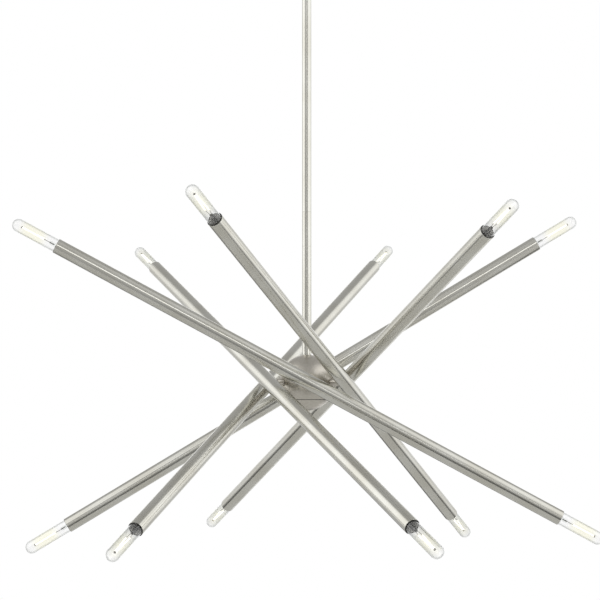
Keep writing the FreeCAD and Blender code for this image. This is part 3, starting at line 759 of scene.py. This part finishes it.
    def build_mount(self, body: str) -> None:
        """Press the glass mount: flared into the neck, domed where the wires leave it."""
        foot = self.neck_x - self.neck_insert
        spring = self.mount_end - self.mount_r / 2
        dome = [(spring + (along - spring) / 2, radius)
                for along, radius in arc_points((spring, 0.0), self.mount_r, 90, 0, 8)]
        profile = [(foot, 0.0), (foot, self.flare_r),
                   (foot + self.flare_waist_share * self.flare_length, self.flare_waist_r),
                   (foot + self.flare_length, self.mount_r), *dome]
        dress(turn(f"{self.name}_mount", profile, self.mouth, closed=False, segments=40),
              Finish.MOUNT, body)

    def build_filaments(self, body: str) -> None:
        """String the two filaments between the support wires and the bridge at their far ends."""
        for side, word in ((-1, "left"), (1, "right")):
            root = Vector((self.mount_end, side * self.wire_spread, 0))
            knee = Vector((FILAMENT_FROM, side * self.filament_spread, 0))
            end = Vector((FILAMENT_TO, side * self.filament_end_spread, 0))
            bend = Vector((FILAMENT_FROM - self.wire_bend,
                           side * self.filament_spread * self.wire_bend_share, 0))
            line = [root - Vector((self.wire_root, 0, 0)), root, bend, knee]
            dress(wire(f"{self.name}_wire_{word}", line, self.wire_r, self.mouth),
                  Finish.STEEL_WIRE, body)
            run = end - knee
            lean = Vector((1, 0, 0)).rotation_difference(run).to_matrix().to_4x4()
            r = self.filament_r
            stick = [*arc_points((r, 0.0), r, 180, 90, 4),
                     *[(run.length * ring / self.filament_rings, r)
                       for ring in range(1, self.filament_rings)],
                     *arc_points((run.length - r, 0.0), r, 90, 0, 4)]
            piece = turn(f"{self.name}_filament_{word}", stick,
                         self.mouth @ (Matrix.Translation(knee) @ lean), closed=False, segments=20)
            dress(piece, Finish.PHOSPHOR, body)
        bridge = tube_profile(FILAMENT_TO, FILAMENT_TO + self.bridge_length, self.bridge_bore_r,
                              self.bridge_r, self.bridge_edge)
        dress(turn(f"{self.name}_bridge", bridge, self.mouth, closed=True, segments=32),
              Finish.STEEL_WIRE, body)

    def build(self) -> None:
        """Build the whole lamp on its own body."""
        self.build_glass(self.name)
        self.build_cap(self.name)
        self.build_mount(self.name)
        self.build_filaments(self.name)


# ------------------------------------------------------------------ rods


@dataclass
class LampRod:
    """One rod: a nickel tube on its stand-off, with a lampholder and a lamp in each end.

    Each mouth has a thin black ring on its rim, painted shade for the gap there, and a white fibre sleeve
    inside.
    """

    number: int
    tube_r: float = 12.7 * MM
    bore_r: float = 11.5 * MM
    edge: float = 0.25 * MM
    shade_ring_r: float = 12.45 * MM
    shade_ring_bore_r: float = 11.1 * MM
    shade_ring_height: float = 0.3 * MM
    sleeve_bore_r: float = 11.15 * MM
    sleeve_fit: float = 0.02 * MM
    sleeve_inset: float = 0.3 * MM
    sleeve_end: float = 22.0 * MM   # how deep in the rod it ends
    trim_edge: float = 0.1 * MM

    @property
    def name(self) -> str:
        """The name of the rod's body."""
        return f"rod_{self.number}"

    def mouth(self, end: str) -> Matrix:
        """Return the frame of one mouth: X out along the rod, from the mouth's middle.

        Args:
            end: "upper" or "lower".

        Returns:
            The frame, in the row frame.
        """
        lamp_joint = joint(f"bulb_{self.number}_{end}_unscrew")
        outward = Vector(lamp_joint["axis"]).normalized()
        from_hub = -Vector(joint(f"{self.name}_swivel")["axis"]).normalized()
        across = outward.cross(from_hub)
        turned = Matrix((outward, from_hub, across)).transposed().to_4x4()
        return Matrix.Translation(lamp_joint["pos_m"]) @ turned

    def build_trim(self, end: str, mouth: Matrix) -> None:
        """Line one mouth with its sleeve and lay a black ring of painted shade on its rim.

        Args:
            end: "upper" or "lower".
            mouth: the mouth's frame.
        """
        sleeve = tube_profile(-self.sleeve_inset, -self.sleeve_end, self.sleeve_bore_r,
                              self.bore_r - self.sleeve_fit, self.trim_edge, steps=2)
        # Painted shade: a black ring on the rim stands in for the shade in the gap between the glass and
        # the bore.
        shade_ring = tube_profile(0.0, self.shade_ring_height, self.shade_ring_bore_r, self.shade_ring_r,
                              self.trim_edge, steps=2)
        dress(turn(f"{self.name}_{end}_sleeve", sleeve, mouth, closed=True), Finish.FIBRE,
              self.name)
        dress(turn(f"{self.name}_{end}_collar", shade_ring, mouth, closed=True), Finish.COLLAR,
              self.name)

    def build(self) -> None:
        """Build the tube with its trim and lamps, and dress the nodes that it carries."""
        upper, lower = self.mouth("upper"), self.mouth("lower")
        length = (upper.translation - lower.translation).length
        skin = tube_profile(0.0, -length, self.bore_r, self.tube_r, self.edge)
        tube = turn(f"{self.name}_tube_skin", skin, upper, closed=True)
        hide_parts(f"{self.name}_tube")
        dress(tube, Finish.NICKEL, self.name)
        dress_node(f"{self.name}_stand_off", Finish.CAST_NICKEL)
        dress_node(f"{self.name}_lampholders", Finish.PHENOLIC)
        for end, mouth in (("upper", upper), ("lower", lower)):
            self.build_trim(end, mouth)
            Lamp(f"bulb_{self.number}_{end}", mouth).build()


# ------------------------------------------------------------------ hub and stem


@dataclass
class Hub:
    """The ball, its bottom cap, a dark ring of painted shade in their seam, and the screw underneath."""

    centre: Vector
    ball_r: float = 47.6 * MM
    seam_shade_height: float = 0.9 * MM
    seam_shade_depth: float = 0.8 * MM
    seam_shade_proud: float = 0.05 * MM

    def build_seam_shade(self) -> None:
        """Lay a thin dark ring in the seam between the shell and its bottom cap, as painted shade for the
        gap.
        """
        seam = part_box("hub_shell")[0].z
        low, high = seam - self.seam_shade_height / 2, seam + self.seam_shade_height / 2
        outer = [(z - low, math.sqrt(self.ball_r ** 2 - (z - self.centre.z) ** 2) + self.seam_shade_proud)
                 for z in (low, seam, high)]
        inner = [(along, radius - self.seam_shade_depth) for along, radius in reversed(outer)]
        # Painted shade: a dark ring stands in for the shade in the gap between the shell and its cap.
        piece = turn("hub_seam_shade", outer + inner, along_z(low), closed=True, segments=128)
        dress(piece, Finish.COLLAR, "stem_and_hub")

    def build(self) -> None:
        """Lay the ring of painted shade and dress the hub's pieces."""
        self.build_seam_shade()
        for node in ("hub_shell", "hub_cap", "cap_screw"):
            dress_node(node, Finish.CAST_NICKEL)
        dress_node("centre_fitting", Finish.ZINC)
        dress_node("hub_wiring", Finish.INSULATION)


@dataclass
class Stem:
    """Three lengths of tube, threaded together, down to the ball."""

    tube_r: float = 8.0 * MM
    bore_r: float = 5.05 * MM
    edge: float = 0.3 * MM

    def build(self) -> None:
        """Turn each length between the heights that the frame gives."""
        for node in ("upper_stem", "stem_coupling", "lower_stem"):
            low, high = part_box(node)
            skin = tube_profile(0.0, high.z - low.z, self.bore_r, self.tube_r, self.edge)
            piece = turn(f"{node}_skin", skin, along_z(low.z), closed=True)
            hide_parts(node)
            dress(piece, Finish.NICKEL, "stem_and_hub")
        dress_node("stem_nipples", Finish.ZINC)


@dataclass
class CeilingMount:
    """Strap, canopy, ring, knuckle swivel and the wiring above the canopy's floor."""

    canopy_r: float = 63.5 * MM
    canopy_wall: float = 1.0 * MM
    canopy_edge: float = 4.0 * MM
    canopy_rim: float = 0.1 * MM
    flat_hold: float = 1.0 * MM     # how far from a curve or a hole its flat run is held
    edge_steps: int = 10
    canopy_hole_r: float = 13.5 * MM
    ring_r: float = 18.0 * MM
    ring_bore_r: float = 12.05 * MM
    ring_chamfer: float = 1.0 * MM
    ring_edge: float = 0.25 * MM

    def build_canopy(self) -> None:
        """Spin the canopy: a pan with a rounded lower edge and an eased rim."""
        low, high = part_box("canopy")
        depth = high.z - low.z
        edge, wall, hold = self.canopy_edge, self.canopy_wall, self.flat_hold
        outside = arc_points((edge, self.canopy_r - edge), edge, 180, 90, self.edge_steps)
        inside = arc_points((edge, self.canopy_r - edge), edge - wall, 90, 180, self.edge_steps)
        profile = [(0.0, self.canopy_hole_r), (0.0, self.canopy_hole_r + hold),
                   (0.0, self.canopy_r - edge - hold), *outside,
                   (edge + hold, self.canopy_r), (depth - hold, self.canopy_r),
                   (depth, self.canopy_r - self.canopy_rim), (depth, self.canopy_r - wall),
                   (edge + hold, self.canopy_r - wall), *inside,
                   (wall, self.canopy_hole_r + hold), (wall, self.canopy_hole_r)]
        piece = turn("canopy_pan", profile, along_z(low.z), closed=True, segments=160)
        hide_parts("canopy")
        dress(piece, Finish.NICKEL, "canopy")

    def build_ring(self) -> None:
        """Turn the ring that holds the canopy up."""
        low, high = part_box("canopy_ring")
        height = high.z - low.z
        corners = [(0.0, self.ring_bore_r), (0.0, self.ring_r - self.ring_chamfer),
                   (self.ring_chamfer, self.ring_r), (height, self.ring_r), (height, self.ring_bore_r)]
        piece = turn("canopy_ring_turned", rounded(corners, self.ring_edge), along_z(low.z), closed=True)
        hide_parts("canopy_ring")
        dress(piece, Finish.NICKEL, "canopy")

    def build(self) -> None:
        """Build the canopy and ring, and dress the rest."""
        self.build_canopy()
        self.build_ring()
        for node in ("swivel_yoke", "swivel_tongue", "swivel_pin"):
            dress_node(node, Finish.CAST_NICKEL)
        for node in ("ceiling_strap", "swivel_lock_nut"):
            dress_node(node, Finish.ZINC)
        dress_node("ground_screw", Finish.GREEN_ZINC)
        dress_node("ceiling_wiring", Finish.INSULATION)


# ------------------------------------------------------------------ studio


@dataclass(frozen=True)
class Card:
    """A lit or a dark patch of the studio: it lights the object and shows in reflections only."""

    azimuth_deg: float      # 0 is behind the camera, 90 is to its right
    elevation_deg: float
    radius_deg: float
    edge_deg: float
    brightness: float

    def way(self) -> tuple[float, float, float]:
        """Return the direction of the card's middle, as seen from the object."""
        azimuth, elevation = math.radians(self.azimuth_deg), math.radians(self.elevation_deg)
        return (math.sin(azimuth) * math.cos(elevation), -math.cos(azimuth) * math.cos(elevation),
                math.sin(elevation))


class StudioCard(Enum):
    """Every card. Where two meet, the later one lies over the earlier.

    The names are labels: what stood in the photographer's studio isn't known.

    These numbers, and the wall levels below, come from a separate program: it fitted them to the
    brightness across the photographed rods and stem. They were then rounded, and some levels
    changed. Nothing else depends on them, so any soft studio can take their place.
    """

    LEFT_SOFTBOX = Card(-70, 15, 32, 18, 1.6)
    RIGHT_SOFTBOX = Card(77, 13, 36, 16, 1.45)
    GREY_BEHIND_CAMERA = Card(5, 12, 23, 8, 0.58)
    WHITE_SWEEP = Card(180, 2, 18, 15, 1.3)
    DARK_FLOOR_LEFT = Card(-115, -38, 8, 22, 0.08)
    DARK_FLOOR_RIGHT = Card(116, -41, 8, 18, 0.1)
    DARK_FLOOR_FRONT = Card(8, -33, 17, 8, 0.12)
    DARK_FLOOR_BEHIND = Card(-170, -26, 10, 12, 0.2)
    LOW_REFLECTOR = Card(156, -40, 8, 4, 1.35)
    SIDE_REFLECTOR = Card(52, -7, 15, 5, 1.75)
    UPPER_REFLECTOR = Card(-26, 29, 7, 5, 1.5)
    CAMERA_SHADOW = Card(-37, 1, 10, 8, 0.35)
    STRIP_LIGHT = Card(6, 16, 4, 4, 2.8)


def backdrop_rays(tree: bpy.types.NodeTree) -> bpy.types.NodeSocket:
    """Tell the rays that see the plain white backdrop from those that see the studio.

    Glossy rays aren't among them, so metal shows the walls and cards.

    Args:
        tree: node tree that asks.

    Returns:
        A socket that is 1 for camera and transmission rays and 0 for the rest.
    """
    path = add_node(tree, "LightPath")
    seen = add_node(tree, "Math", {"operation": "MAXIMUM"},
                    links={0: path.outputs["Is Camera Ray"], 1: path.outputs["Is Transmission Ray"]})
    return seen.outputs[0]


@dataclass
class Studio:
    """A pale floor, a room of walls and cards, and the camera at the photograph's viewing angle."""

    camera_offset: Vector = Vector((9.17 * MM, -3260.1 * MM, -28.2 * MM))
    camera_pitch_deg: float = 2.962
    camera_yaw_deg: float = 0.363
    focal_length: float = 115.03
    sensor: float = 36.0
    clip_end: float = 60.0
    floor_height: float = -2.6
    floor_r: float = 2.2            # small enough that metal sees the dark cards under its edge
    floor_dark: str = "#DEDEDC"
    floor_pale: str = "#E3E3E1"
    floor_mottle: float = 6.0       # soft blotches to the metre
    floor_lift: float = 0.48        # light added where the camera or the glass looks at the floor
    wall_levels: tuple[tuple[float, str], ...] = (      # from straight down, 0, to straight up, 1
        (0.0, "#BCBCBC"), (0.1, "#CBCBCB"), (0.25, "#D3D3D3"), (0.4, "#E1E1E1"), (0.55, "#EDEDED"),
        (0.65, "#EDEDED"), (0.75, "#AAAAAA"), (0.85, "#C4C4C4"), (1.0, "#BCBCBC"))

    def build_camera(self, hub: Vector) -> None:
        """Stand the camera where the photograph was taken from.

        Args:
            hub: the hub's centre.
        """
        data = bpy.data.cameras.new("camera")
        data.sensor_width = self.sensor
        data.lens = self.focal_length
        data.clip_end = self.clip_end
        camera = bpy.data.objects.new("camera", data)
        camera.location = hub + self.camera_offset
        camera.rotation_euler = (math.radians(90 + self.camera_pitch_deg), 0,
                                 math.radians(self.camera_yaw_deg))
        bpy.context.scene.collection.objects.link(camera)
        bpy.context.scene.camera = camera

    def build_floor(self) -> None:
        """Lay the pale floor, which the photograph's frame doesn't reach."""
        mesh = bpy.data.meshes.new("floor")
        work = bmesh.new()
        bmesh.ops.create_circle(work, cap_ends=True, radius=self.floor_r, segments=128)
        work.to_mesh(mesh)
        work.free()
        floor = bpy.data.objects.new("floor", mesh)
        floor.location.z = self.floor_height
        bpy.context.scene.collection.objects.link(floor)
        material, tree = new_tree("matt_white_floor")
        place = add_node(tree, "TexCoord")
        paper = add_node(tree, "TexNoise", values={"Scale": self.floor_mottle},
                         links={"Vector": place.outputs["Object"]})
        tint = add_node(tree, "ValToRGB", links={"Fac": paper.outputs[0]})
        set_ramp(tint, [(0.0, self.floor_dark), (1.0, self.floor_pale)])
        matt = add_node(tree, "BsdfDiffuse", links={"Color": tint.outputs[0]})
        lift = add_node(tree, "Emission", values={"Strength": self.floor_lift})
        both = add_node(tree, "AddShader", links={0: matt.outputs[0], 1: lift.outputs[0]})
        mix = add_node(tree, "MixShader",
                       links={0: backdrop_rays(tree), 1: matt.outputs[0], 2: both.outputs[0]})
        finish_tree(tree, mix)
        mesh.materials.append(material)

    def build_world(self) -> None:
        """Fill the room: plain white for backdrop rays, and walls with cards for all others."""
        world = bpy.data.worlds.new("studio")
        world.use_nodes = True
        bpy.context.scene.world = world
        tree = world.node_tree
        tree.nodes.clear()
        place = add_node(tree, "TexCoord")
        height = add_node(tree, "SeparateXYZ", links={0: place.outputs["Generated"]})
        share = add_node(tree, "MapRange", values={"From Min": -1.0},
                         links={"Value": height.outputs["Z"]})
        walls = add_node(tree, "ValToRGB", links={"Fac": share.outputs[0]})
        set_ramp(walls, list(self.wall_levels))
        light = walls.outputs[0]
        for card in (choice.value for choice in StudioCard):
            toward = add_node(tree, "VectorMath", {"operation": "DOT_PRODUCT"}, {1: card.way()},
                              {0: place.outputs["Generated"]})
            cover = add_node(tree, "MapRange", {"interpolation_type": "SMOOTHSTEP"},
                             {"From Min": math.cos(math.radians(card.radius_deg + card.edge_deg)),
                              "From Max": math.cos(math.radians(card.radius_deg))},
                             {"Value": toward.outputs["Value"]})
            mixed = add_node(tree, "Mix", values={"B": card.brightness},
                             links={"Factor": cover.outputs[0], "A": light})
            light = mixed.outputs["Result"]
        room = add_node(tree, "Background", values={"Color": (1, 1, 1, 1)}, links={"Strength": light})
        white = add_node(tree, "Background", values={"Color": (1, 1, 1, 1), "Strength": 1.0})
        mix = add_node(tree, "MixShader",
                       links={0: backdrop_rays(tree), 1: room.outputs[0], 2: white.outputs[0]})
        add_node(tree, "OutputWorld", links={"Surface": mix.outputs[0]})

    def build(self, hub: Vector) -> None:
        """Set up the whole studio round the hub."""
        bpy.context.scene.view_settings.view_transform = "Standard"
        self.build_camera(hub)
        self.build_floor()
        self.build_world()


def main() -> None:
    """Build the chandelier and its studio in order."""
    logging.basicConfig(level=logging.INFO, format="%(name)s: %(message)s")
    hub = Vector(joint("rod_1_swivel")["pos_m"])
    Studio().build(hub)
    CeilingMount().build()
    Stem().build()
    Hub(hub).build()
    for body in frame["bodies"]:
        if body.startswith("rod_"):
            LampRod(int(body.removeprefix("rod_"))).build()


if __name__ == "__main__":
    main()
